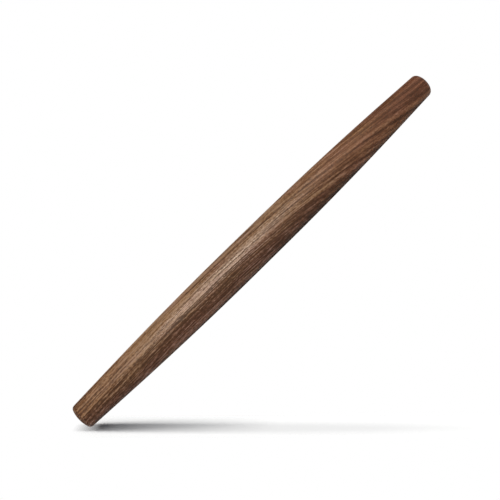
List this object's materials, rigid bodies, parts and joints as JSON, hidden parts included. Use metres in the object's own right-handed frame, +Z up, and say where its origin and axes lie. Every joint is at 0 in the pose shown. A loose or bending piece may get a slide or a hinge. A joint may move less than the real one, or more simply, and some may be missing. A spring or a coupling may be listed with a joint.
{
  "type": "french rolling pin",
  "caption": "Turned walnut rolling pin without handles: straight belly, long tapers and slim rounded ends, rolled under the palms to spread dough and pastry.",
  "frame": {"origin": "middle of the line that the belly rests on, under the centre of the pin", "axes": "+X along the turning axis towards one end (both ends are alike), +Z up from the table, +Y across the pin"},
  "size_m": [0.4, 0.031, 0.031],
  "materials": {
    "walnut": "oiled satin"
  },
  "bodies": {
    "root": {"rolling_pin": "walnut"}
  },
  "joints": []
}
